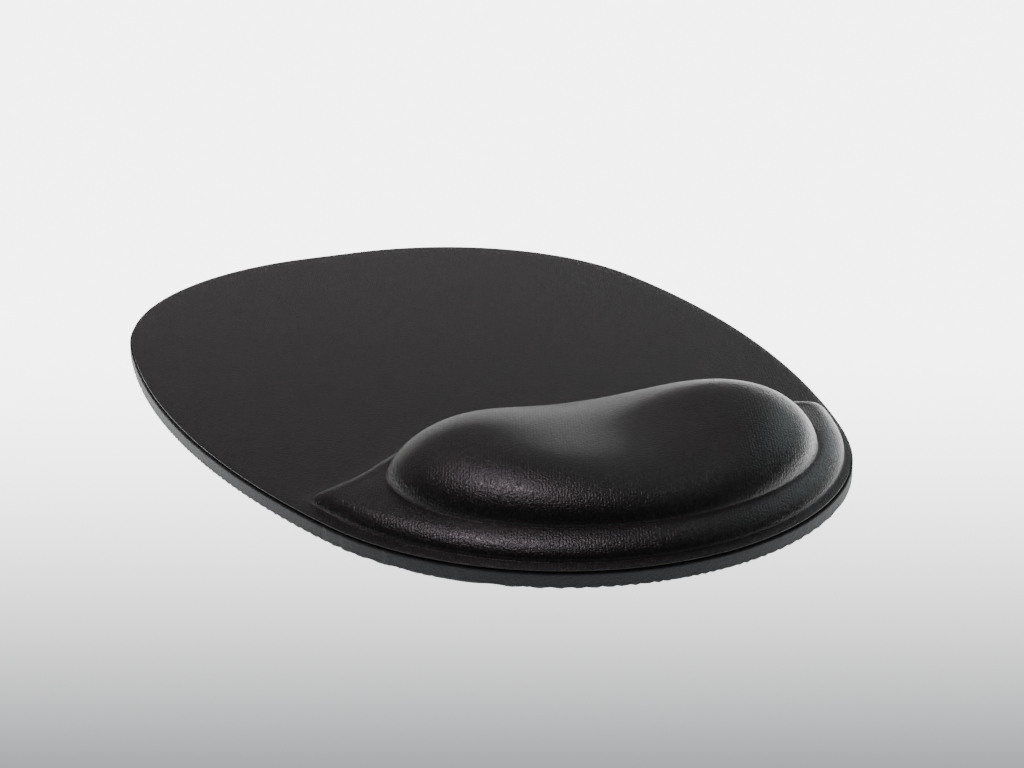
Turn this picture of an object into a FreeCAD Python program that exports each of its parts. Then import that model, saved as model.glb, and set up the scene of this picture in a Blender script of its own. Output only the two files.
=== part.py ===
import FreeCAD, Part
import math
import os

# Soft gel wrist rest on a mouse pad. Millimetres.
# Origin: centre of the footprint, on the desk. +X right, +Y away from the user, +Z up.

# Pad outline: a front arc, two side arcs and two far corner arcs, all tangent, and a far flat.
pad_length = 260.0
pad_width = 180.0
front_turn = 69.5        # degrees that the front arc turns, from the front centre to its end
side_turn = 30.0         # degrees that each side arc turns
far_flat = 19.0          # straight stretch in the middle of the far edge

# Layers, from the desk up.
base_thickness = 3.5
adhesive_thickness = 0.1
backing_thickness = 0.4
fabric_thickness = 0.4
cover_inset = 0.6        # the cover's cut edge stands back from the rubber's edge by this much

# Plinth under the cushion, at the user's end.
flange_width = 2.8       # from the rubber's edge to the foot of the plinth's covered wall
plinth_shift_x = 1.2     # the plinth and cushion are moulded this far off the pad's centre
plinth_shift_y = 0.8
edge_wall = 0.9          # upright wall at the plinth's foot
shoulder_rise = 1.6      # rounded shoulder above that wall
shoulder_run = 3.0       # how far in from the wall the shoulder has mostly risen
plateau_rise = 2.0       # from the shoulder up to the foot of the cushion
ridge_radius = 92.0      # far edge of the plinth, an arc that bulges away from the user
ridge_turn = 36.5        # degrees that this arc turns to each side before it flares out
flare_radius = 40.6      # reverse arc that carries the ridge out to the pad's side
ridge_margin = 5.2       # from the cushion's far edge to the plinth's far edge

# Gel cushion: two half ellipses that share their long axis.
cushion_side_setback = 17.2   # from the rubber's side edge to the cushion's end, when centred
cushion_shift = 2.4      # the cushion's middle stands this far to the user's right
cushion_turn = -3.1      # degrees, so the right end is a little nearer to the user
cushion_front_depth = 42.0
cushion_far_depth = 31.0
cushion_setback = 12.1   # from the rubber's front edge to the cushion's front edge
cushion_height = 13.0    # rise of the cushion above its foot, before the saddle is taken off
cushion_lean = 2.35       # the right end is this much taller and the left end this much lower
cushion_slope = 0.157     # rise of the top towards the far side, in mm per mm
saddle_dip = 6.1         # depth of the saddle between the two lobes
saddle_width = 35.0      # half-width of the saddle
saddle_shift = 5.0       # from the cushion's middle to the saddle's, towards the right lobe
far_dip = 10.0           # extra depth of the saddle where it opens on to the far side
far_dip_start = 18.0     # from the cushion's long axis to where half of that depth is reached
far_dip_blend = 9.7
fullness = 3.75          # how flat the top is on the far side: 2 is round
front_fullness = 4.8     # the same on the user's side
slope_blend = 6.0        # how softly the slope and the fullness change over the middle
edge_power = 0.65        # how steeply the side leaves the foot: 0.5 is upright

# Gel pouch, let into the plinth.
seat_depth = 1.0
film_thickness = 0.15

# Control net of the soft surfaces.
net_step = 3.0
net_margin = 12.0
tall = 60.0              # taller than anything here, for cutting


def vec(x, y, z=0.0):
    return FreeCAD.Vector(x, y, z)


def solve_radii():
    """Front, side and corner radii that give the pad its length and width."""
    turn_a = math.radians(front_turn)
    turn_b = math.radians(front_turn + side_turn)
    half = pad_width / 2
    # half width = front*a1 + side*a2, and = far_flat/2 + side*b1 + corner*b2
    a1, a2 = math.sin(turn_a), 1 - math.sin(turn_a)
    b1, b2 = 1 - math.sin(turn_b), math.sin(turn_b)
    # length = front*c1 + side*c2 + corner*c3
    c1 = 1 - math.cos(turn_a)
    c2 = math.cos(turn_a) - math.cos(turn_b)
    c3 = 1 + math.cos(turn_b)
    rest = pad_length - c1 * half / a1 - c3 * (half - far_flat / 2) / b2
    side = rest / (c2 - c1 * a2 / a1 - c3 * b1 / b2)
    front = (half - side * a2) / a1
    corner = (half - far_flat / 2 - side * b1) / b2
    return front, side, corner


FRONT_RADIUS, SIDE_RADIUS, CORNER_RADIUS = solve_radii()
FRONT_Y = -pad_length / 2
FAR_Y = pad_length / 2


def outline_arcs():
    """Centre, radius and first and last heading of each arc on the right, front to far."""
    front = vec(0, FRONT_Y + FRONT_RADIUS)
    turn_a = math.radians(front_turn)
    turn_b = math.radians(front_turn + side_turn)
    inward = SIDE_RADIUS - FRONT_RADIUS
    side = front - vec(math.sin(turn_a), -math.cos(turn_a)) * inward
    corner = vec(far_flat / 2, FAR_Y - CORNER_RADIUS)
    return [(front, FRONT_RADIUS, 0.0, turn_a),
            (side, SIDE_RADIUS, turn_a, turn_b),
            (corner, CORNER_RADIUS, turn_b, math.pi)]


def outline_wire(inset, z):
    """Closed pad outline, moved in by inset, at height z. The arcs keep their centres."""
    def point(centre, radius, heading, mirror):
        x = centre.x + (radius - inset) * math.sin(heading)
        y = centre.y - (radius - inset) * math.cos(heading)
        return vec(-x if mirror else x, y, z)

    edges = []
    for mirror in (False, True):
        for centre, radius, start, stop in outline_arcs():
            middle = (start + stop) / 2
            ends = [point(centre, radius, h, mirror) for h in (start, middle, stop)]
            edges.append(Part.Arc(*ends).toShape())
    edges.append(Part.makeLine(vec(-far_flat / 2, FAR_Y - inset, z),
                               vec(far_flat / 2, FAR_Y - inset, z)))
    return Part.Wire(Part.__sortEdges__(edges))


def prism(wire, height):
    """Upright solid on a closed flat wire."""
    return Part.Face(wire).extrude(vec(0, 0, height))


def pad_prism(inset, bottom, height):
    """Upright solid on the pad's own plan, moved in by inset."""
    return prism(outline_wire(inset, bottom), height)


def outline_depth(x, y):
    """How far inside the pad outline a point is."""
    depths = [FAR_Y - y]
    for centre, radius, start, stop in outline_arcs():
        dx, dy = abs(x) - centre.x, y - centre.y
        heading = math.atan2(dx, -dy)
        if start <= heading <= stop:
            depths.append(radius - math.hypot(dx, dy))
    return min(depths)


# Heights that several pieces share.
BASE_TOP = base_thickness
BOND_TOP = BASE_TOP + adhesive_thickness
COVER_THICKNESS = backing_thickness + fabric_thickness
CUSHION_Y = FRONT_Y + cushion_setback + cushion_front_depth
CUSHION_CENTRE = vec(cushion_shift, CUSHION_Y)
PLINTH_SHIFT = vec(plinth_shift_x, plinth_shift_y)
RIDGE_Y = CUSHION_Y + cushion_far_depth + ridge_margin
WALL_INSET = flange_width + COVER_THICKNESS


def half_width_at(y):
    """Half the pad's width on a line across it at y."""
    for centre, radius, start, stop in outline_arcs():
        heading = math.acos((centre.y - y) / radius)
        if start <= heading <= stop:
            return centre.x + radius * math.sin(heading)


CUSHION_HALF = half_width_at(CUSHION_Y) - cushion_side_setback


def ridge_arcs():
    """Centres of the ridge's arc and of the reverse arc on its right."""
    turn = math.radians(ridge_turn)
    centre = vec(PLINTH_SHIFT.x, RIDGE_Y - ridge_radius)
    flare = centre + vec(math.sin(turn), math.cos(turn)) * (ridge_radius + flare_radius)
    return centre, flare


def ridge_depth(x, y):
    """How far on the user's side of the ridge a point is."""
    centre, flare = ridge_arcs()
    along, across = abs(x - centre.x), y - centre.y
    if along > flare.x - centre.x:
        return flare.y - flare_radius - y
    if math.atan2(along, across) < math.radians(ridge_turn):
        return ridge_radius - math.hypot(along, across)
    return math.hypot(along - flare.x + centre.x, y - flare.y) - flare_radius


def cushion_place(x, y):
    """A point's place along and across the cushion, from its middle."""
    turn = math.radians(cushion_turn)
    dx, dy = x - CUSHION_CENTRE.x, y - CUSHION_CENTRE.y
    return (dx * math.cos(turn) + dy * math.sin(turn),
            dy * math.cos(turn) - dx * math.sin(turn))


def cushion_radius(x, y):
    """0 at the cushion's centre, 1 on its edge."""
    along, across = cushion_place(x, y)
    depth = cushion_far_depth if across > 0 else cushion_front_depth
    return math.hypot(along / CUSHION_HALF, across / depth)


def plinth_depth(x, y):
    """How far inside the plinth's wall a point is."""
    side = outline_depth(x - PLINTH_SHIFT.x, y - PLINTH_SHIFT.y) - WALL_INSET
    return max(0.0, min(side, ridge_depth(x, y)))


def plateau_height(x, y):
    """Top of the plinth as if there were no cushion."""
    depth = plinth_depth(x, y)
    shoulder = shoulder_rise * (1 - math.exp(-depth / shoulder_run))
    outside = max(0.0, cushion_radius(x, y) - 1) * cushion_front_depth
    share = depth / (depth + outside) if depth > 0 else 0.0
    return BOND_TOP + edge_wall + shoulder + plateau_rise * share


def dome_height(x, y):
    """Rise of the cushion above the plateau."""
    radius = min(1.0, cushion_radius(x, y))
    along, across = cushion_place(x, y)
    near = 1 / (1 + math.exp(across / slope_blend))
    power = fullness + near * (front_fullness - fullness)
    dome = (1 - radius ** power) ** edge_power
    opening = 1 / (1 + math.exp((far_dip_start - across) / far_dip_blend))
    dip = (saddle_dip + far_dip * opening) * math.exp(-((along - saddle_shift) / saddle_width) ** 2)
    rise = cushion_slope * slope_blend * math.log1p(math.exp(across / slope_blend))
    top = cushion_height + cushion_lean * along / CUSHION_HALF + rise
    return (top - dip) * dome


def soft_top(x, y):
    """Underside of the cover where it lies on the plinth and the cushion."""
    return plateau_height(x, y) + dome_height(x, y)


def seat_top(x, y):
    """Floor of the recess that the gel pouch sits in."""
    return plateau_height(x, y) - seat_depth


def net_line(low, high):
    count = max(4, int(math.ceil((high - low) / net_step)) + 1)
    return [low + (high - low) * i / (count - 1) for i in range(count)]


def clamped_knots(count):
    knots = [float(i) for i in range(count - 2)]
    mults = [4] + [1] * (count - 4) + [4]
    return knots, mults


def below(height, raised=0.0):
    """Solid under a height function: one cubic surface, carried down past the base."""
    half = pad_width / 2 + net_margin
    xs = net_line(-half, half)
    ys = net_line(FRONT_Y - net_margin, RIDGE_Y + net_margin)
    poles = [[vec(x, y, height(x, y) + raised) for y in ys] for x in xs]
    x_knots, x_mults = clamped_knots(len(xs))
    y_knots, y_mults = clamped_knots(len(ys))
    surface = Part.BSplineSurface()
    surface.buildFromPolesMultsKnots(poles, x_mults, y_mults, x_knots, y_knots,
                                     False, False, 3, 3)
    return surface.toShape().extrude(vec(0, 0, -tall))


def arc_edge(centre, radius, headings, mirror_x=None):
    """Arc through three compass headings, 0 being +Y. It can be mirrored about a line x."""
    ends = []
    for heading in headings:
        x = centre.x + radius * math.sin(heading)
        x = x if mirror_x is None else 2 * mirror_x - x
        ends.append(vec(x, centre.y + radius * math.cos(heading), BOND_TOP))
    return Part.Arc(*ends).toShape()


def ridge_prism(grow):
    """Upright prism on the user's side of the ridge, grown outwards."""
    centre, flare = ridge_arcs()
    turn = math.radians(ridge_turn)
    edges = [arc_edge(centre, ridge_radius + grow, (-turn, 0, turn))]
    back = [math.pi + turn, math.pi + turn / 2, math.pi]
    edges.append(arc_edge(flare, flare_radius - grow, back))
    edges.append(arc_edge(flare, flare_radius - grow, back, centre.x))
    side_y = flare.y - flare_radius + grow
    right, left = flare.x, 2 * centre.x - flare.x
    corners = [(right, side_y), (right + tall, side_y), (right + tall, FRONT_Y - tall),
               (left - tall, FRONT_Y - tall), (left - tall, side_y), (left, side_y)]
    for start, stop in zip(corners, corners[1:]):
        edges.append(Part.makeLine(vec(*start, BOND_TOP), vec(*stop, BOND_TOP)))
    return prism(Part.Wire(Part.__sortEdges__(edges)), tall)


def plinth_prism(grow):
    """Upright prism on the plinth's plan, grown outwards for each layer that covers it."""
    plan = pad_prism(WALL_INSET - grow, BOND_TOP, tall)
    plan.translate(PLINTH_SHIFT)
    return plan.common(ridge_prism(grow))


def cushion_prism(inset):
    """Upright prism on the cushion's plan, from its two half ellipses."""
    edges = []
    for depth, start in ((cushion_far_depth, 0.0), (cushion_front_depth, math.pi)):
        ellipse = Part.Ellipse(CUSHION_CENTRE, CUSHION_HALF - inset, depth - inset)
        edges.append(ellipse.toShape(start, start + math.pi))
    plan = prism(Part.Wire(Part.__sortEdges__(edges)), tall)
    plan.rotate(CUSHION_CENTRE, vec(0, 0, 1), cushion_turn)
    return plan


def mound(raised):
    """Plinth and cushion together under one layer's outer face, above the bond."""
    return plinth_prism(raised).common(below(soft_top, raised))


def covered(raised):
    """Everything above the bond and inside a cover of this thickness."""
    return pad_prism(cover_inset, BOND_TOP, raised).fuse(mound(raised)).removeSplitter()


def pouch_room(inset, lifted):
    """The cushion's plan above the seat, inset at its sides and lifted off the seat's floor."""
    return cushion_prism(inset).cut(below(seat_top, lifted))


def rubber_base():
    return pad_prism(0.0, 0.0, base_thickness)


def base_adhesive():
    return pad_prism(cover_inset, BASE_TOP, adhesive_thickness)


def wrist_plinth():
    return mound(0.0).cut(pouch_room(0.0, 0.0))


def gel_pouch_base_film():
    return pouch_room(0.0, 0.0).common(below(seat_top, film_thickness))


def gel_core():
    return pouch_room(film_thickness, film_thickness).common(below(soft_top, -film_thickness))


def gel_pouch_top_film():
    pouch = pouch_room(0.0, film_thickness).common(below(soft_top))
    return pouch.cut(gel_core())


def cover_backing():
    return covered(backing_thickness).cut(mound(0.0))


def cover_fabric():
    return covered(COVER_THICKNESS).cut(covered(backing_thickness))


PIECES = {
    "rubber_base": rubber_base,
    "base_adhesive": base_adhesive,
    "wrist_plinth": wrist_plinth,
    "gel_pouch_base_film": gel_pouch_base_film,
    "gel_core": gel_core,
    "gel_pouch_top_film": gel_pouch_top_film,
    "cover_backing": cover_backing,
    "cover_fabric": cover_fabric,
}

os.makedirs("parts", exist_ok=True)
for name, make in PIECES.items():
    shape = make()
    shape.exportStep("parts/" + name + ".step")
    box = shape.BoundBox
    print(name, shape.isValid(), len(shape.Solids), len(shape.Faces), round(shape.Volume, 1),
          [round(v, 2) for v in (box.XMin, box.YMin, box.ZMin, box.XMax, box.YMax, box.ZMax)])
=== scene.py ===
import math

import bmesh
import bpy
import numpy as np
from mathutils import Matrix, Vector, noise


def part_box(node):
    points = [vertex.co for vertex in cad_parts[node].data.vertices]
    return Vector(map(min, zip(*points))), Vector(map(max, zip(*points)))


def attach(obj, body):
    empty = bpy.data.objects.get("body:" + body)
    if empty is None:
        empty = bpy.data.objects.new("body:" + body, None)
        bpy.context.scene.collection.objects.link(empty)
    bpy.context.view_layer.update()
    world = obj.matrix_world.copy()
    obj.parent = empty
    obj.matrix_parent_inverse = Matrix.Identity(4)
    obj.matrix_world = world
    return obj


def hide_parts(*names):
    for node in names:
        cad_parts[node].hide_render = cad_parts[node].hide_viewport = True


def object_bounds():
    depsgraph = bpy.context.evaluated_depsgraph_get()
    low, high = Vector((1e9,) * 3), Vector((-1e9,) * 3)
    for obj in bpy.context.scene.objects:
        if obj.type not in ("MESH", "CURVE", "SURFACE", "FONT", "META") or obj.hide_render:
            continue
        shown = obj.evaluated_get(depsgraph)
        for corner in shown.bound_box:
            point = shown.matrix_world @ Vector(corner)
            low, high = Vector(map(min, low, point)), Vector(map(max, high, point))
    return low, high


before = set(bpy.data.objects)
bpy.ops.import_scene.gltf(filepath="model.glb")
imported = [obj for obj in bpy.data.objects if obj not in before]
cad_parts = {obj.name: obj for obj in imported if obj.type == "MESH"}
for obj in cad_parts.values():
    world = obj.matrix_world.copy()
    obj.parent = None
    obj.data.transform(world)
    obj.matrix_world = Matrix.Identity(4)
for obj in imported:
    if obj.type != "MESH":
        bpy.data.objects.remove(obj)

cad_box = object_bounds()
MM = 0.001


# --- Rubber base -----------------------------------------------------------------------------
# A die-cut sheet of black natural sponge rubber. Its underside is moulded with a fine waffle
# that grips the desk, and the cut edge shows the sponge's open cells.

FRONT_TURN = math.radians(69.5)
SIDE_TURN = math.radians(30.0)
FAR_FLAT = 19.0 * MM
ARC_STEPS = 34
WAFFLE_CELL = 1.05 * MM      # half of the waffle's pitch
WAFFLE_DEPTH = 0.34 * MM
EDGE_BAND = 3.0 * MM
CELL_SIZE = 0.75 * MM        # open cells of the cut edge
MERGE = 0.15 * MM            # slivers left by the cut edge are closed up to this size
CELL_DEPTH = 0.09 * MM

base_low, base_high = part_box("rubber_base")
pad_length = base_high.y - base_low.y
pad_width = base_high.x - base_low.x


def outline_arcs():
    """Centre, radius and headings of the outline's right-hand arcs, from the front to the far end."""
    a, b = FRONT_TURN, FRONT_TURN + SIDE_TURN
    sums = [[math.sin(a), 1 - math.sin(a), 0],
            [0, 1 - math.sin(b), math.sin(b)],
            [1 - math.cos(a), math.cos(a) - math.cos(b), 1 + math.cos(b)]]
    reach = [pad_width / 2, (pad_width - FAR_FLAT) / 2, pad_length]
    front, side, corner = (float(r) for r in np.linalg.solve(sums, reach))
    front_at = Vector((0, base_low.y + front))
    side_at = front_at - Vector((math.sin(a), -math.cos(a))) * (side - front)
    corner_at = Vector((FAR_FLAT / 2, base_high.y - corner))
    return [(front_at, front, 0, a), (side_at, side, a, b), (corner_at, corner, b, math.pi)]


ARCS = outline_arcs()


def outline_depth(x, y):
    """How far inside the pad's outline each point is, for arrays of x and y."""
    depth = base_high.y - y
    for centre, radius, start, stop in ARCS:
        dx, dy = np.abs(x) - centre.x, y - centre.y
        heading = np.arctan2(dx, -dy)
        turned = (heading >= start) & (heading <= stop)
        depth = np.where(turned, np.minimum(depth, radius - np.hypot(dx, dy)), depth)
    return depth


def outline_loop():
    """Points round the pad's outline, anticlockwise from the middle of the front."""
    right = []
    for centre, radius, start, stop in ARCS:
        for i in range(ARC_STEPS):
            heading = start + (stop - start) * i / ARC_STEPS
            right.append(centre + Vector((math.sin(heading), -math.cos(heading))) * radius)
    right.append(Vector((FAR_FLAT / 2, base_high.y)))
    return right + [Vector((-p.x, p.y)) for p in reversed(right[1:])]


def waffle(x, y):
    """Height of the underside's waffle above the desk."""
    wave = math.cos(math.pi * x / WAFFLE_CELL) * math.cos(math.pi * y / WAFFLE_CELL)
    return WAFFLE_DEPTH * (0.5 - 0.5 * wave)


def new_piece(bm, name):
    """A smooth-shaded object in the scene from a bmesh."""
    for face in bm.faces:
        face.smooth = True
    mesh = bpy.data.meshes.new(name)
    bm.to_mesh(mesh)
    bm.free()
    piece = bpy.data.objects.new(name, mesh)
    bpy.context.scene.collection.objects.link(piece)
    return piece


def open_edges(bm):
    return [e for e in bm.edges if e.is_boundary]


def raise_rim(bm, rise, inset, centre):
    """Carries the open rim on to a new height, moved in towards centre."""
    made = bmesh.ops.extrude_edge_only(bm, edges=open_edges(bm))["geom"]
    for vert in (g for g in made if isinstance(g, bmesh.types.BMVert)):
        inward = (centre - vert.co.xy).normalized() * inset
        vert.co = (vert.co.x + inward.x, vert.co.y + inward.y, rise)


def make_rubber_base():
    bm = bmesh.new()
    columns = 2 * math.ceil(pad_width / 2 / WAFFLE_CELL)
    rows = 2 * math.ceil(pad_length / 2 / WAFFLE_CELL)
    size = Matrix.Diagonal((columns * WAFFLE_CELL / 2, rows * WAFFLE_CELL / 2, 1, 1))
    bmesh.ops.create_grid(bm, x_segments=columns, y_segments=rows, size=1, matrix=size)
    middles = np.array([f.calc_center_median()[:2] for f in bm.faces])
    depths = outline_depth(middles[:, 0], middles[:, 1])
    faces = list(bm.faces)
    near = [f for f, d in zip(faces, depths) if -EDGE_BAND < d < EDGE_BAND]
    geom = near + list({e for f in near for e in f.edges} | {v for f in near for v in f.verts})
    beyond = [f for f, d in zip(faces, depths) if d <= -EDGE_BAND]
    bmesh.ops.delete(bm, geom=beyond, context="FACES")
    geom = [g for g in geom if g.is_valid]
    loop = outline_loop()
    for here, there in zip(loop, loop[1:] + loop[:1]):
        outward = Vector((there.y - here.y, here.x - there.x, 0))
        geom = bmesh.ops.bisect_plane(bm, geom=geom, plane_co=here.to_3d(), plane_no=outward,
                                      clear_outer=True)["geom"]
    bmesh.ops.remove_doubles(bm, verts=bm.verts, dist=MERGE)
    for vert in bm.verts:
        vert.co.z = base_low.z + waffle(vert.co.x, vert.co.y)
    bmesh.ops.reverse_faces(bm, faces=bm.faces)
    middle = Vector((0, 0))
    top = base_high.z
    for rise, inset in ((0.16, 0), (0.4, 0), (0.64, 0), (0.88, 0), (0.97, 0.1), (1.0, 0.28)):
        raise_rim(bm, top * rise, inset * MM, middle)
    for vert in bm.verts:
        if WAFFLE_DEPTH < vert.co.z < top * 0.95:
            grain = noise.noise(vert.co / CELL_SIZE) * CELL_DEPTH
            vert.co.xy += vert.co.xy.normalized() * (grain - CELL_DEPTH)
    bmesh.ops.edgeloop_fill(bm, edges=open_edges(bm))
    bmesh.ops.recalc_face_normals(bm, faces=bm.faces)
    return bm


class Flow:
    """A shader socket's output, for writing node sums as Python sums."""

    def __init__(self, tree, socket):
        self.tree = tree
        self.socket = socket

    def clamp(self):
        """The value held between 0 and 1."""
        return shader_node(self.tree, "ShaderNodeClamp", None, [self])

    def scaled(self, factor):
        """The vector output times a number."""
        return shader_node(self.tree, "ShaderNodeVectorMath", {"operation": "SCALE"},
                           {"Vector": self, "Scale": factor})

    def rounded(self):
        """The vector output rounded down to whole numbers."""
        return shader_node(self.tree, "ShaderNodeVectorMath", {"operation": "FLOOR"}, [self])

    def math(self, kind, *others):
        return shader_node(self.tree, "ShaderNodeMath", {"operation": kind}, [self, *others])

    def __add__(self, other):
        return self.math("ADD", other)

    def __radd__(self, other):
        return self.math("ADD", other)

    def __mul__(self, other):
        return self.math("MULTIPLY", other)

    def __rmul__(self, other):
        return self.math("MULTIPLY", other)

    def __sub__(self, other):
        return self.math("SUBTRACT", other)

    def __rsub__(self, other):
        return shader_node(self.tree, "ShaderNodeMath", {"operation": "SUBTRACT"}, [other, self])

    def __pow__(self, other):
        return self.math("POWER", other)


def shader_node(tree, kind, settings=None, inputs=(), output=0):
    """Adds a node: its settings first, then the values or links of its sockets."""
    node = tree.nodes.new(kind)
    for name, value in (settings or {}).items():
        setattr(node, name, value)
    pairs = inputs.items() if isinstance(inputs, dict) else enumerate(inputs)
    for key, value in pairs:
        if isinstance(value, Flow):
            tree.links.new(value.socket, node.inputs[key])
        else:
            node.inputs[key].default_value = value
    return Flow(tree, node.outputs[output]) if node.outputs else node


def new_material(name):
    """An empty node material and its tree."""
    material = bpy.data.materials.new(name)
    material.use_nodes = True
    material.node_tree.nodes.clear()
    return material, material.node_tree


def close_material(tree, shader_inputs):
    """The Principled shader and the output, with these sockets set."""
    shader = shader_node(tree, "ShaderNodeBsdfPrincipled", None, shader_inputs)
    shader_node(tree, "ShaderNodeOutputMaterial", None, {"Surface": shader})


def mix_colour(tree, factor, low, high):
    return shader_node(tree, "ShaderNodeMix", {"data_type": "RGBA"},
                       {"Factor": factor, 6: low, 7: high}, output=2)


def place(tree):
    return shader_node(tree, "ShaderNodeTexCoord", output=3)


def sponge_rubber():
    material, tree = new_material("sponge_rubber")
    spot = place(tree)
    cells = shader_node(tree, "ShaderNodeTexVoronoi", {"feature": "F1"},
                        {"Vector": spot, "Scale": 1900.0, "Randomness": 1.0})
    patches = shader_node(tree, "ShaderNodeTexNoise", None,
                          {"Vector": spot, "Scale": 420.0, "Detail": 4.0, "Roughness": 0.6})
    colour = mix_colour(tree, patches, (0.006, 0.007, 0.008, 1), (0.021, 0.023, 0.025, 1))
    bump = shader_node(tree, "ShaderNodeBump", None,
                       {"Height": cells * 0.6 + patches * 0.8, "Strength": 0.55,
                        "Distance": 0.00022})
    close_material(tree, {"Base Color": colour, "Roughness": 0.82 + patches * 0.12,
                          "Normal": bump, "Specular IOR Level": 0.35,
                          "Sheen Weight": 0.12, "Sheen Roughness": 0.6})
    return material


rubber = new_piece(make_rubber_base(), "sponge_rubber_sheet")
rubber.data.materials.append(sponge_rubber())
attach(rubber, "root")
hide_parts("rubber_base")


# --- Bonding film ----------------------------------------------------------------------------
# A hot-melt film rolled between the sponge and what lies on it. Only its edge can be seen.

def bonding_film():
    material, tree = new_material("bonding_film")
    streaks = shader_node(tree, "ShaderNodeTexNoise", None,
                          {"Vector": place(tree), "Scale": 160.0, "Detail": 3.0})
    colour = mix_colour(tree, streaks, (0.018, 0.018, 0.017, 1), (0.035, 0.035, 0.033, 1))
    close_material(tree, {"Base Color": colour, "Roughness": 0.25 + streaks * 0.15})
    return material


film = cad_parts["base_adhesive"]
film.data.materials.clear()
film.data.materials.append(bonding_film())


# --- Wrist plinth ----------------------------------------------------------------------------
# A wedge of closed-cell foam, heat-moulded to the shape that the cover shows: an upright foot,
# a round shoulder, a ridge across the far side and a recess that the gel pouch sits in.

RAYS = 480
KNIT = 0.4 * MM
FOAM = 0.4 * MM
FLANGE = 2.8 * MM            # from the rubber's edge to the foot of the covered wall
PLINTH_SHIFT = (1.2 * MM, 0.8 * MM)     # the moulding lies this far off the pad's centre
RIDGE_TURN = math.radians(36.5)         # the ridge's arc turns this far to each side
RIDGE_RADIUS = 92.0 * MM
FLARE_RADIUS = 40.6 * MM     # reverse arc that carries the ridge out to the pad's side
CORNER_BLEND = 1.6 * MM
SHOULDER_WIDTH = 5.4 * MM
SHOULDER_RISE = 2.5 * MM
PLATEAU_RISE = 2.0 * MM
RIDGE_ROLL = 0.5 * MM        # extra height of the ridge along the far side
CUSHION_TURN = math.radians(-3.1)
CUSHION_HALF = 56.35 * MM
CUSHION_FRONT_DEPTH = 42.0 * MM
CUSHION_FAR_DEPTH = 31.0 * MM
CUSHION_RISE = 13.0 * MM
CUSHION_LEAN = 2.35 * MM      # the right end is this much taller, the left end lower
CUSHION_SLOPE = 0.157        # rise of the top towards the far side
SLOPE_BLEND = 6.0 * MM       # how softly slope and fullness change over the middle
SADDLE_DIP = 6.1 * MM
SADDLE_WIDTH = 35.0 * MM
SADDLE_SHIFT = 5.0 * MM
FAR_DIP = 10.0 * MM          # extra depth where the saddle opens on to the far side
FAR_DIP_START = 18.0 * MM
FAR_DIP_BLEND = 9.7 * MM
FULLNESS = 3.75              # how flat the top is on the far side
FRONT_FULLNESS = 4.8         # and on the user's side
EDGE_POWER = 0.65
GROOVE_DEPTH = 0.45 * MM     # how far the crease round the cushion is pressed in
GROOVE_WIDTH = 1.3 * MM

pouch_low, pouch_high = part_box("gel_pouch_base_film")
plinth_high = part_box("wrist_plinth")[1]
bond_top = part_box("base_adhesive")[1].z
flat_top = bond_top + FOAM + KNIT
seat_floor = pouch_high.z - 0.2 * MM
far_reach = math.hypot(CUSHION_FAR_DEPTH * math.cos(CUSHION_TURN),
                       CUSHION_HALF * math.sin(CUSHION_TURN))
hub = Vector(((pouch_low.x + pouch_high.x) / 2, pouch_high.y - far_reach))
ridge_centre = (PLINTH_SHIFT[0], plinth_high.y - RIDGE_RADIUS)
flare_reach = (RIDGE_RADIUS + FLARE_RADIUS) * math.sin(RIDGE_TURN)
flare_y = ridge_centre[1] + (RIDGE_RADIUS + FLARE_RADIUS) * math.cos(RIDGE_TURN)


def cushion_place(x, y):
    """A point's place along and across the cushion, from its middle."""
    dx, dy = x - hub.x, y - hub.y
    return (dx * math.cos(CUSHION_TURN) + dy * math.sin(CUSHION_TURN),
            dy * math.cos(CUSHION_TURN) - dx * math.sin(CUSHION_TURN))


def cushion_radius(x, y):
    """0 at the cushion's middle, 1 on the crease round it."""
    along, across = cushion_place(x, y)
    depth = np.where(across > 0, CUSHION_FAR_DEPTH, CUSHION_FRONT_DEPTH)
    return np.hypot(along / CUSHION_HALF, across / depth)


def ridge_depth(x, y):
    """How far on the user's side of the ridge a point is."""
    along, across = np.abs(x - ridge_centre[0]), y - ridge_centre[1]
    arc = RIDGE_RADIUS - np.hypot(along, across)
    flare = np.hypot(np.minimum(along, flare_reach) - flare_reach, y - flare_y) - FLARE_RADIUS
    return np.where(np.arctan2(along, across) < RIDGE_TURN, arc, flare) + KNIT + FOAM


def plinth_depth(x, y):
    """How far inside the foot of the plinth's wall a point is. The ridge's two ends are rounded."""
    ridge = ridge_depth(x, y)
    side = outline_depth(x - PLINTH_SHIFT[0], y - PLINTH_SHIFT[1]) - FLANGE
    low = np.minimum(ridge, side)
    gap = np.abs(ridge - side) / CORNER_BLEND
    return low - CORNER_BLEND * np.log1p(np.exp(-gap)) * np.exp(-np.maximum(0, -low) / CORNER_BLEND)


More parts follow.
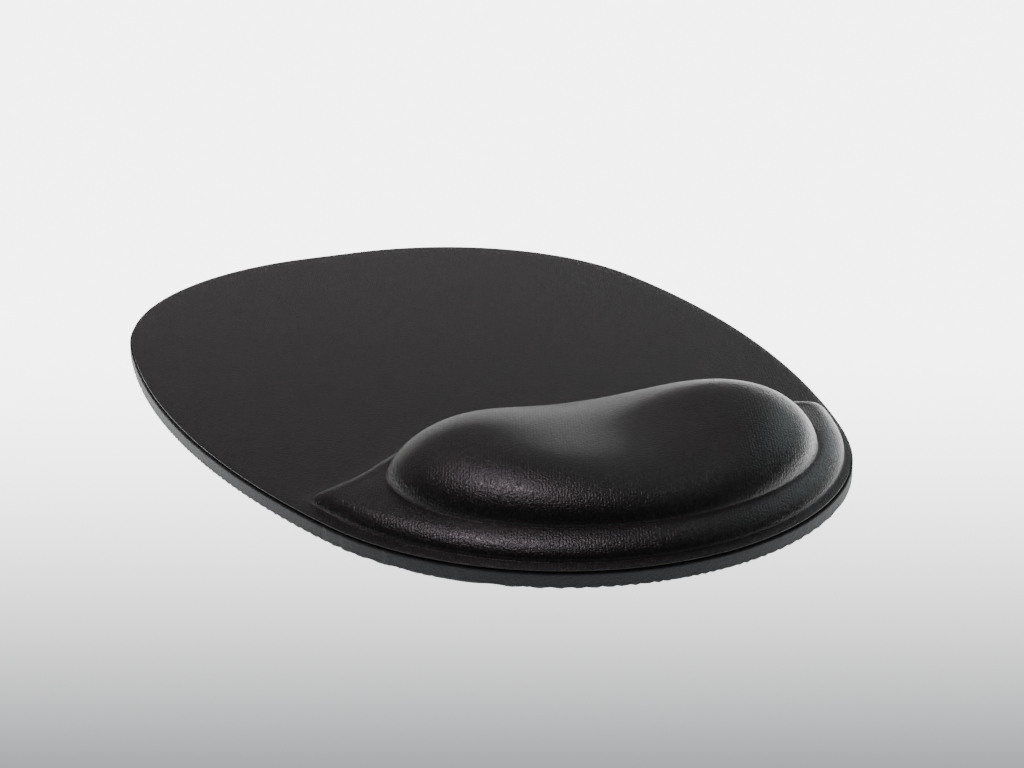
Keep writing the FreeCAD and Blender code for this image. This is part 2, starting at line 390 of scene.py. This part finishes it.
def cover_height(x, y):
    """Height of the cover's outer face above the desk, for arrays of x and y."""
    depth = plinth_depth(x, y)
    inner = np.clip(depth / SHOULDER_WIDTH, 0, 1)
    shoulder = SHOULDER_RISE * np.sqrt(1 - (1 - inner) ** 2)
    radius = cushion_radius(x, y)
    outside = np.maximum(0, radius - 1) * CUSHION_FRONT_DEPTH
    share = np.where(depth > 0, depth / (np.maximum(depth, 1e-9) + outside), 0)
    far = 1 / (1 + np.exp(-(y - hub.y + 0.006) / 0.006))
    roll = far * RIDGE_ROLL * np.exp(-((depth - SHOULDER_WIDTH * 0.6) / 0.0025) ** 2)
    roll = np.where(depth > 0, roll, 0)
    groove = GROOVE_DEPTH * np.exp(-np.abs(radius - 1) * CUSHION_FRONT_DEPTH / GROOVE_WIDTH)
    along, across = cushion_place(x, y)
    power = FULLNESS + (FRONT_FULLNESS - FULLNESS) / (1 + np.exp(across / SLOPE_BLEND))
    dome = np.maximum(0, 1 - np.minimum(1, radius) ** power) ** EDGE_POWER
    opening = 1 / (1 + np.exp((FAR_DIP_START - across) / FAR_DIP_BLEND))
    dip = (SADDLE_DIP + FAR_DIP * opening) * np.exp(-((along - SADDLE_SHIFT) / SADDLE_WIDTH) ** 2)
    slope = CUSHION_SLOPE * SLOPE_BLEND * np.log1p(np.exp(across / SLOPE_BLEND))
    top = CUSHION_RISE + CUSHION_LEAN * along / CUSHION_HALF + slope
    edge = np.maximum(0, outline_depth(x, y))
    rounding = 0.22 * MM * np.exp(-edge / (0.8 * MM))
    fillet = np.where(depth < 0, 0.3 * MM * np.exp(np.minimum(0, depth) / (1.6 * MM)), 0)
    return (flat_top + shoulder + roll + PLATEAU_RISE * share - groove
            + (top - dip) * dome - rounding + fillet * far)


angles = np.arange(RAYS) * 2 * math.pi / RAYS
ray_x, ray_y = np.cos(angles), np.sin(angles)


def reach_to(depth_at, level):
    """Along each ray from the hub, how far out the given depth falls to level."""
    near, away = np.zeros(RAYS), np.full(RAYS, pad_length)
    for _ in range(44):
        middle = (near + away) / 2
        inside = depth_at(hub.x + ray_x * middle, hub.y + ray_y * middle) > level
        near, away = np.where(inside, middle, near), np.where(inside, away, middle)
    return near


def cushion_reach(radius):
    """Along each ray, how far out the cushion's radius is this share of the crease's."""
    return radius / cushion_radius(hub.x + ray_x, hub.y + ray_y)


def add_rings(bm, rings):
    """Rings of faces round the hub, the first one closed to a middle point."""
    first = rings[0]
    bmesh.ops.create_circle(bm, cap_ends=True, cap_tris=True, segments=RAYS, radius=1)
    for vert in bm.verts:
        if vert.co.xy.length > 0.5:
            ray = round(math.atan2(vert.co.y, vert.co.x) * RAYS / (2 * math.pi)) % RAYS
            vert.co.xy = hub + vert.co.xy.normalized() * first[ray]
        else:
            vert.co.xy = hub
    for ring in rings[1:]:
        made = bmesh.ops.extrude_edge_only(bm, edges=open_edges(bm))["geom"]
        for vert in (g for g in made if isinstance(g, bmesh.types.BMVert)):
            away = vert.co.xy - hub
            ray = round(math.atan2(away.y, away.x) * RAYS / (2 * math.pi)) % RAYS
            vert.co.xy = hub + Vector((ray_x[ray], ray_y[ray])) * ring[ray]


def lift(bm, height_at):
    """Raises each point of a flat mesh to a height function of its place."""
    verts = list(bm.verts)
    flat = np.array([v.co.xy for v in verts])
    for vert, rise in zip(verts, height_at(flat[:, 0], flat[:, 1])):
        vert.co.z = rise
    bmesh.ops.recalc_face_normals(bm, faces=bm.faces)
    if sum(f.normal.z for f in bm.faces) < 0:
        bmesh.ops.reverse_faces(bm, faces=bm.faces)
    bm.normal_update()


def sink(bm, depth):
    """Moves a skin inwards along its own normals."""
    for vert, normal in [(v, v.normal.copy()) for v in bm.verts]:
        vert.co -= normal * depth


CUSHION_STEPS = 30
cushion_rings = [cushion_reach(math.sin(math.pi / 2 * i / CUSHION_STEPS))
                 for i in range(1, CUSHION_STEPS + 1)]
crease = cushion_rings[-1]
groove_rings = [crease + d * MM for d in (0.25, 0.55, 1.0)]
foot = reach_to(plinth_depth, 0)


def rings_from_foot(levels, limit):
    """Rings at these depths from the plinth's foot, closer together where limit is near."""
    rings = []
    for index, level in enumerate(levels):
        share = (index + 1) / (len(levels) + 1)
        offset = reach_to(plinth_depth, level * MM) - foot
        rings.append(foot + np.sign(limit - foot) * np.minimum(np.abs(offset),
                                                               np.abs(limit - foot) * share))
    return rings


shoulder_rings = rings_from_foot((0.03, 0.12, 0.3, 0.6, 1.0, 1.5, 2.1, 2.8, 3.6, 4.5, 5.4),
                                 groove_rings[-1])[::-1]
plateau_gap = shoulder_rings[0] - groove_rings[-1]
plateau_rings = [groove_rings[-1] + plateau_gap * t for t in (0.14, 0.28, 0.42, 0.57, 0.71, 0.86)]
mound_rings = cushion_rings + groove_rings + plateau_rings + shoulder_rings


def edge_rings(inset):
    """Rings from the plinth's foot out to an edge that stands back from the rubber's."""
    edge = reach_to(outline_depth, inset)
    last = [edge - np.minimum(d * MM, (edge - foot) * t)
            for d, t in ((1.2, 0.5), (0.6, 0.3), (0.25, 0.15), (0.08, 0.05), (0, 0))]
    near_foot = rings_from_foot((-0.2, -0.5, -1.0), foot + (edge - foot) * 0.5)
    gap = last[0] - near_foot[-1]
    spread = [near_foot[-1] + gap * t for t in (0.03, 0.09, 0.18, 0.3, 0.45, 0.6, 0.75, 0.88, 0.96)]
    return [foot] + near_foot + spread + last


def make_plinth():
    bm = bmesh.new()
    add_rings(bm, mound_rings)
    lift(bm, cover_height)
    sink(bm, KNIT + FOAM + 0.05 * MM)
    seat = [v for v in bm.verts if cushion_radius(v.co.x, v.co.y) < 0.995]
    for vert in seat:
        vert.co.z = min(vert.co.z, seat_floor)
    bmesh.ops.recalc_face_normals(bm, faces=bm.faces)
    raise_rim(bm, bond_top, 0, hub)
    bmesh.ops.edgeloop_fill(bm, edges=open_edges(bm))
    bmesh.ops.recalc_face_normals(bm, faces=bm.faces)
    return bm


def moulded_foam():
    material, tree = new_material("moulded_foam")
    spot = place(tree)
    cells = shader_node(tree, "ShaderNodeTexVoronoi", None, {"Vector": spot, "Scale": 2400.0})
    patches = shader_node(tree, "ShaderNodeTexNoise", None, {"Vector": spot, "Scale": 90.0})
    colour = mix_colour(tree, patches, (0.07, 0.07, 0.075, 1), (0.11, 0.11, 0.115, 1))
    bump = shader_node(tree, "ShaderNodeBump", None,
                       {"Height": cells, "Strength": 0.4, "Distance": 0.00015})
    close_material(tree, {"Base Color": colour, "Roughness": 0.75 + patches * 0.15,
                          "Normal": bump})
    return material


plinth = new_piece(make_plinth(), "moulded_foam_plinth")
plinth.data.materials.append(moulded_foam())
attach(plinth, "root")
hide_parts("wrist_plinth")


# --- Gel pouch -------------------------------------------------------------------------------
# Two clear films welded at the rim, filled with soft clear gel. The lower film lies in the
# plinth's recess and the upper one is drawn over the gel to a low saddle between two lobes.

FILM = 0.15 * MM
pouch_top_skin = KNIT + FOAM + 0.05 * MM


def clear_polymer(name, tint, roughness, through):
    """A clear soft plastic: tint, gloss and how much light passes."""
    material, tree = new_material(name)
    swirl = shader_node(tree, "ShaderNodeTexNoise", None,
                        {"Vector": place(tree), "Scale": 70.0, "Detail": 2.0})
    deep = tuple(c * 0.8 for c in tint) + (1,)
    colour = mix_colour(tree, swirl, deep, tint + (1,))
    close_material(tree, {"Base Color": colour, "Roughness": roughness + swirl * 0.06,
                          "IOR": 1.45, "Transmission Weight": through})
    return material


def make_dome(margin, skin, floor):
    """A closed dome under the cover: drawn in at its rim, under this much skin, on this floor."""
    bm = bmesh.new()
    add_rings(bm, [ring - margin for ring in cushion_rings])
    lift(bm, cover_height)
    sink(bm, skin)
    raise_rim(bm, floor, 0, hub)
    bmesh.ops.edgeloop_fill(bm, edges=open_edges(bm))
    bmesh.ops.recalc_face_normals(bm, faces=bm.faces)
    return bm


def make_base_film():
    bm = bmesh.new()
    add_rings(bm, [crease * 0.5, crease - 0.1 * MM])
    lift(bm, lambda x, y: np.full(len(x), seat_floor))
    bmesh.ops.solidify(bm, geom=bm.faces, thickness=-FILM)
    bmesh.ops.recalc_face_normals(bm, faces=bm.faces)
    return bm


def make_top_film():
    bm = bmesh.new()
    add_rings(bm, [ring - 0.1 * MM for ring in cushion_rings])
    lift(bm, cover_height)
    sink(bm, pouch_top_skin)
    raise_rim(bm, seat_floor + FILM, 0, hub)
    bmesh.ops.recalc_face_normals(bm, faces=bm.faces)
    bmesh.ops.solidify(bm, geom=bm.faces, thickness=FILM)
    bmesh.ops.recalc_face_normals(bm, faces=bm.faces)
    return bm


film_finish = clear_polymer("pouch_film", (0.80, 0.82, 0.84), 0.12, 0.85)
for name, bm, node in (("pouch_lower_film", make_base_film(), "gel_pouch_base_film"),
                       ("pouch_upper_film", make_top_film(), "gel_pouch_top_film")):
    piece = new_piece(bm, name)
    piece.data.materials.append(film_finish)
    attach(piece, "root")
    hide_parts(node)

gel = new_piece(make_dome(0.3 * MM, pouch_top_skin + 0.2 * MM, seat_floor + FILM), "gel_cushion")
gel.data.materials.append(clear_polymer("gel", (0.66, 0.76, 0.82), 0.05, 0.9))
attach(gel, "root")
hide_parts("gel_core")


# --- Cover backing ---------------------------------------------------------------------------
# Thin soft foam, flame-laminated to the back of the knit so that it takes the moulded creases.
# Its cut edge stands a little further in than the knit's.

FOAM_INSET = 0.95 * MM
KNIT_INSET = 0.6 * MM


def make_cover_layer(inset, skin, thickness):
    """One layer of the cover, from its outer skin inwards."""
    bm = bmesh.new()
    add_rings(bm, mound_rings + edge_rings(inset))
    lift(bm, cover_height)
    sink(bm, skin)
    bm.normal_update()
    bmesh.ops.solidify(bm, geom=bm.faces, thickness=thickness)
    bmesh.ops.recalc_face_normals(bm, faces=bm.faces)
    return bm


def cover_foam():
    material, tree = new_material("cover_foam")
    cells = shader_node(tree, "ShaderNodeTexVoronoi", None, {"Vector": place(tree), "Scale": 3000.0})
    colour = mix_colour(tree, cells, (0.012, 0.012, 0.013, 1), (0.03, 0.03, 0.032, 1))
    bump = shader_node(tree, "ShaderNodeBump", None,
                       {"Height": cells, "Strength": 0.5, "Distance": 0.0001})
    close_material(tree, {"Base Color": colour, "Roughness": 0.85 + cells * 0.1, "Normal": bump})
    return material


backing = new_piece(make_cover_layer(FOAM_INSET, KNIT, FOAM), "cover_foam_backing")
backing.data.materials.append(cover_foam())
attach(backing, "root")
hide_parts("cover_backing")


# --- Knit cover ------------------------------------------------------------------------------
# One piece of black satin stretch knit over the whole pad, heat-formed with its backing and
# pressed into a narrow crease at the foot of the plinth and round the cushion.

WALE = 0.72 * MM
COURSE = 0.42 * MM
FLECK = 0.34 * MM            # size of a loop that catches the light by itself
CREASE_WIDTH = 0.14 * MM


def mark_crease_highlights(mesh):
    """Stores where a painted highlight runs along the creases that the knit is pressed into: 1 on the
    line, 0 a little way off.
    """
    flat = np.array([v.co[:2] for v in mesh.vertices])
    crease_off = np.abs(cushion_radius(flat[:, 0], flat[:, 1]) - 1) * CUSHION_FRONT_DEPTH
    foot_off = np.abs(plinth_depth(flat[:, 0], flat[:, 1]))
    # painted highlight mask: full on the cushion's crease, 0.7 along the plinth's foot
    painted_crease_highlight = np.exp(-(crease_off / CREASE_WIDTH) ** 2)
    painted_crease_highlight = np.maximum(painted_crease_highlight, 0.7 * np.exp(-(foot_off / CREASE_WIDTH) ** 2))
    mesh.attributes.new("painted_crease_highlight", "FLOAT", "POINT").data.foreach_set("value", painted_crease_highlight)


def plan_place(tree):
    """The x and y of a point on the piece."""
    return [shader_node(tree, "ShaderNodeSeparateXYZ", None, [place(tree)], axis)
            for axis in (0, 1)]


def satin_knit():
    material, tree = new_material("satin_knit")
    spot = place(tree)
    x, y = plan_place(tree)
    across, along = x * 0.909 - y * 0.416, x * 0.416 + y * 0.909
    wales = (across * (2 * math.pi / WALE)).math("SINE")
    courses = (along * (2 * math.pi / COURSE)).math("SINE")
    painted_crease_highlight = shader_node(tree, "ShaderNodeAttribute", {"attribute_name": "painted_crease_highlight"}, (), 2)
    loops = shader_node(tree, "ShaderNodeTexVoronoi", None, {"Vector": spot, "Scale": 1900.0}, 0)
    glint = shader_node(tree, "ShaderNodeTexNoise", None,
                        {"Vector": spot, "Scale": 1500.0, "Detail": 2.0, "Roughness": 0.8})
    fleck = (shader_node(tree, "ShaderNodeTexWhiteNoise", {"noise_dimensions": "3D"},
                         {"Vector": spot.scaled(1 / FLECK).rounded()}, 0) - 0.80).clamp() * 5.0
    cloud = shader_node(tree, "ShaderNodeTexNoise", None,
                        {"Vector": spot, "Scale": 40.0, "Detail": 3.0})
    colour = mix_colour(tree, cloud * 0.3 + glint * 0.7, (0.0040, 0.0034, 0.0031, 1),
                        (0.015, 0.013, 0.012, 1))
    # painted highlight: the crease lines are given a much lighter colour
    colour = mix_colour(tree, painted_crease_highlight, colour, (0.10, 0.092, 0.092, 1))
    bump = shader_node(tree, "ShaderNodeBump", None,
                       {"Height": wales * 0.2 + courses * 0.10 + loops * 1.3 + glint * 3.0
                        + fleck * 0.9, "Strength": 0.9, "Distance": 0.00005})
    close_material(tree, {"Base Color": colour, "Roughness": 0.25 + glint * 0.2,
                          "Normal": bump, "Specular IOR Level": 0.5,
                          "Coat Weight": fleck * 0.5, "Coat Roughness": 0.22,
                          "Sheen Weight": 0.05, "Sheen Roughness": 0.3,
                          "Sheen Tint": (1.0, 0.93, 0.88, 1)})
    return material


cover = new_piece(make_cover_layer(KNIT_INSET, 0, KNIT), "satin_knit_cover")
mark_crease_highlights(cover.data)
cover.data.materials.append(satin_knit())
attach(cover, "root")
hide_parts("cover_fabric")


# --- Floor, lights and camera ----------------------------------------------------------------
# A pale sweep under soft studio light, seen from the user's end, a little to the left.

def pale_floor():
    """A floor that glows with painted light, with painted shade that darkens it towards the viewer.
    """
    material, tree = new_material("pale_floor")
    x, y = plan_place(tree)
    away = x * 0.416 + y * 0.909
    # painted shade: the glow fades darker along the view towards the viewer
    nearer = (0.1 - away).math("MAXIMUM", 0.0)
    painted_fade = (nearer ** 3.2 * -125.0).math("EXPONENT")
    painted_glow = mix_colour(tree, painted_fade, (0.0, 0.004, 0.008, 1), (1.0, 1.0, 1.0, 1))
    # painted light: the floor glows by its own emission, though it is no lamp
    close_material(tree, {"Base Color": (0.05, 0.05, 0.05, 1), "Roughness": 0.8,
                          "Emission Color": painted_glow, "Emission Strength": 5.6})
    return material


def add_floor():
    bm = bmesh.new()
    bmesh.ops.create_grid(bm, x_segments=1, y_segments=1, size=6)
    for vert in bm.verts:
        vert.co.z = cad_box[0][2] - 0.02 * MM
    floor = new_piece(bm, "floor")
    floor.data.materials.append(pale_floor())


def add_light(name, where, aim, size, power, colour=(1, 1, 1)):
    """A soft rectangular light at a point, turned to another."""
    light = bpy.data.lights.new(name, "AREA")
    light.shape = "RECTANGLE"
    light.size, light.size_y = size
    light.energy = power
    light.color = colour
    lamp = bpy.data.objects.new(name, light)
    lamp.location = where
    lamp.rotation_euler = (Vector(aim) - Vector(where)).to_track_quat("-Z", "Y").to_euler()
    bpy.context.scene.collection.objects.link(lamp)


add_floor()
add_light("back_soft", (0.50, 1.20, 0.28), (0, 0, 0.05), (1.5, 0.50), 0.9, (1.0, 0.96, 0.94))
add_light("right_back_soft", (0.98, 0.40, 0.52), (0, 0, 0), (0.7, 0.55), 1.5, (0.86, 0.97, 1.0))
add_light("overhead_soft", (-0.06, 0.22, 0.90), (0, -0.05, 0), (0.26, 0.26), 2.9, (1.0, 0.86, 0.95))
add_light("far_left_soft", (-0.45, 1.00, 0.62), (0, -0.05, 0), (0.5, 0.4), 0.2, (1.0, 0.84, 0.92))

world = bpy.data.worlds.new("studio")
world.use_nodes = True
world.node_tree.nodes["Background"].inputs["Color"].default_value = (0.95, 0.97, 1.0, 1)
world.node_tree.nodes["Background"].inputs["Strength"].default_value = 0.05
bpy.context.scene.world = world

CAMERA_AT = Vector((-177.1, -412.2, 172.5)) * MM
CAMERA_AIM = Vector((10.0, -3.7, 0.0)) * MM
lens = bpy.data.cameras.new("camera")
lens.lens = 58.0
lens.sensor_width = 36.0
lens.clip_start = 0.01
camera = bpy.data.objects.new("camera", lens)
camera.location = CAMERA_AT
camera.rotation_euler = (CAMERA_AIM - CAMERA_AT).to_track_quat("-Z", "Y").to_euler()
bpy.context.scene.collection.objects.link(camera)
bpy.context.scene.camera = camera
